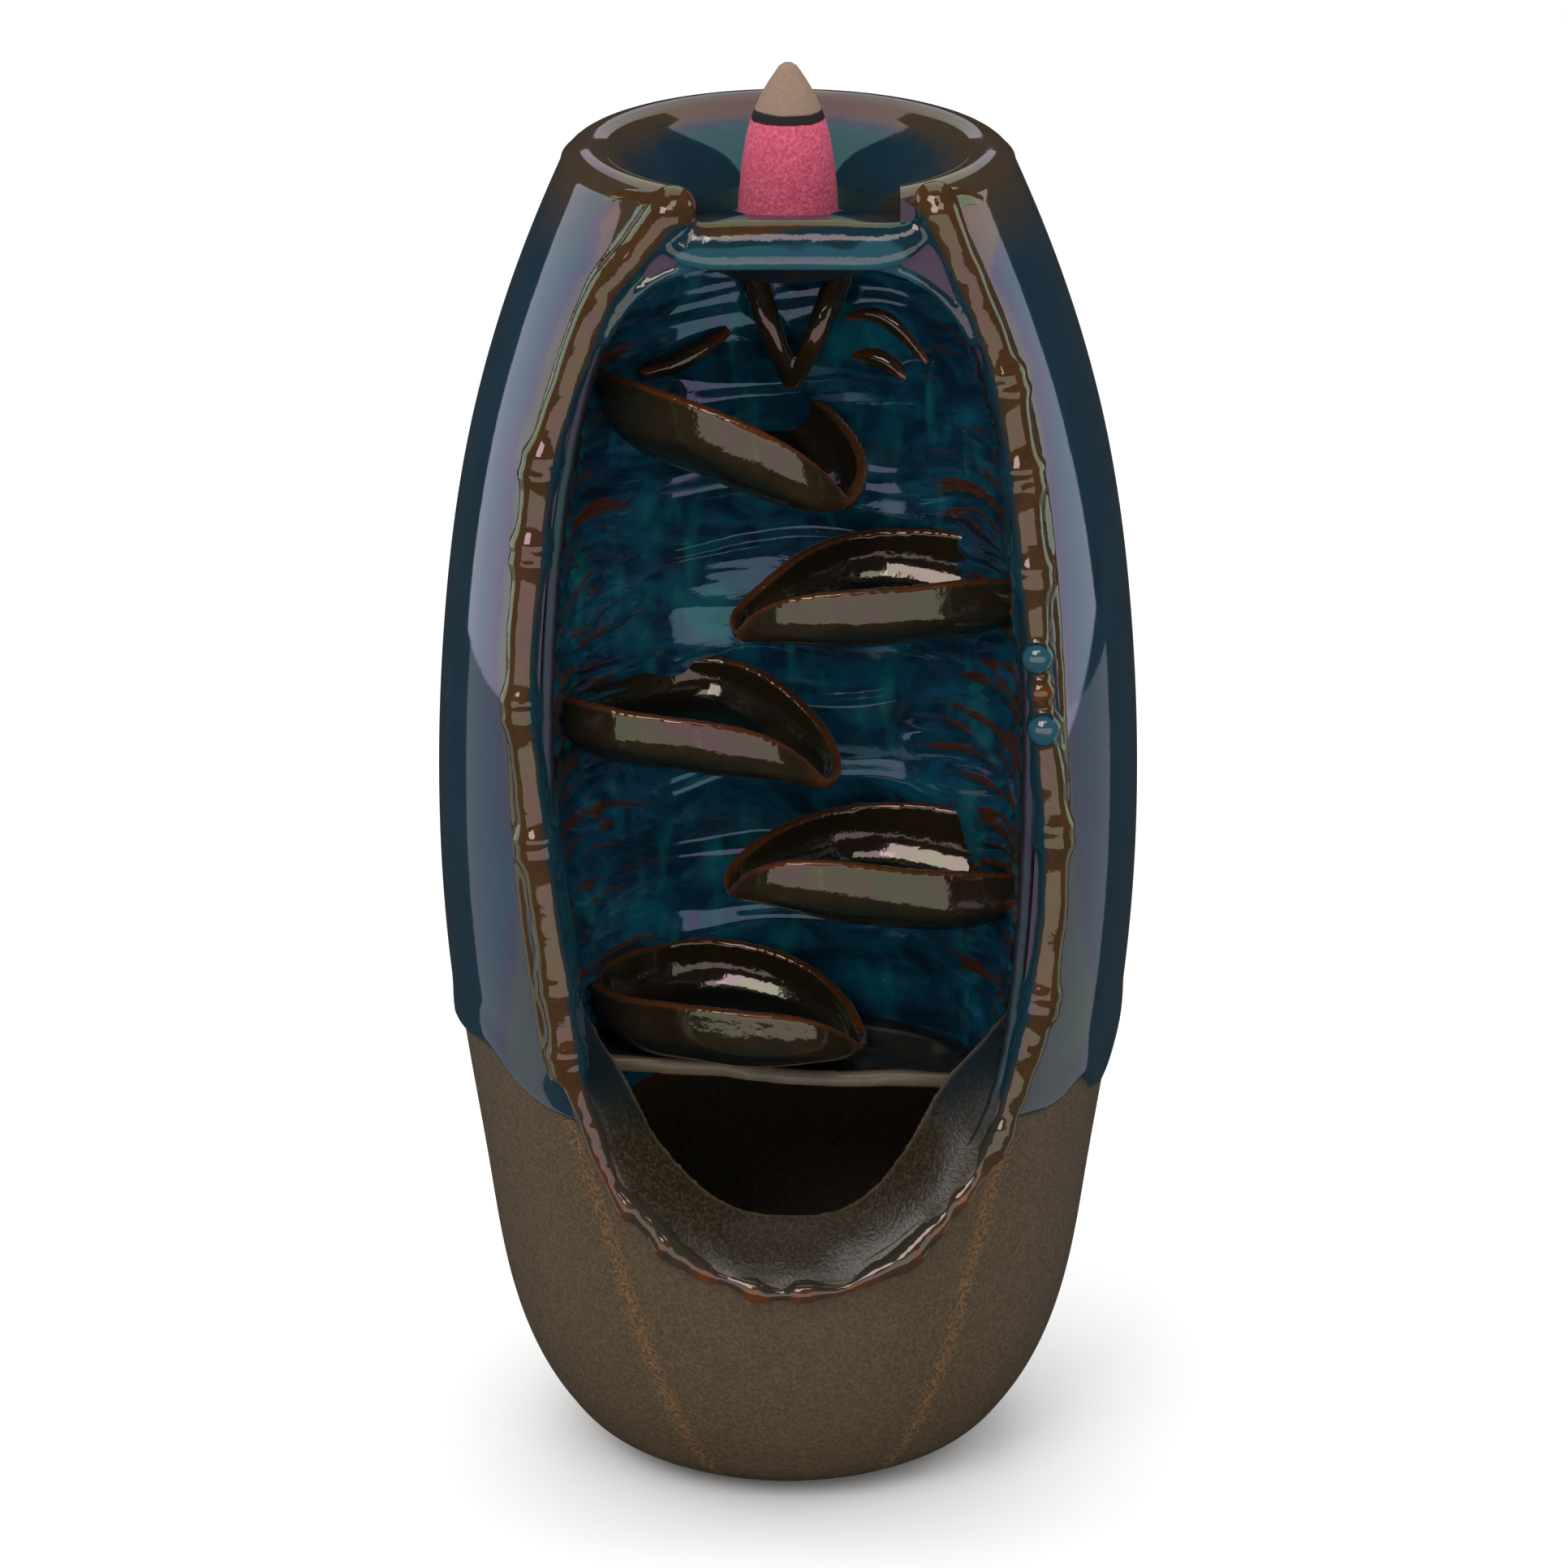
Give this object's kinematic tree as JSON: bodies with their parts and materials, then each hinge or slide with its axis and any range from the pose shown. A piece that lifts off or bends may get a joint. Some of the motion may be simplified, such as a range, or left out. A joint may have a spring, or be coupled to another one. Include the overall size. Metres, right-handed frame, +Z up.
{
  "type": "backflow incense burner",
  "caption": "Glazed egg-shaped vase with a dish for an incense cone on top and an open front where smoke falls over a cascade of leaf cups.",
  "frame": {"origin": "centre of the flat foot, on the surface it stands on", "axes": "+Z up along the vase's axis, -Y towards the open front, +X to the right seen from the front"},
  "size_m": [0.0926, 0.0902, 0.1906],
  "materials": {
    "glazed_stoneware": "dark blue-brown reactive glaze over fired stoneware, glossy above and matt olive brown below",
    "incense_paste": "pink pressed incense, with a charred band and an ash tip"
  },
  "bodies": {
    "root": {"burner_body": "glazed_stoneware", "incense_cone": "incense_paste"}
  },
  "joints": []
}
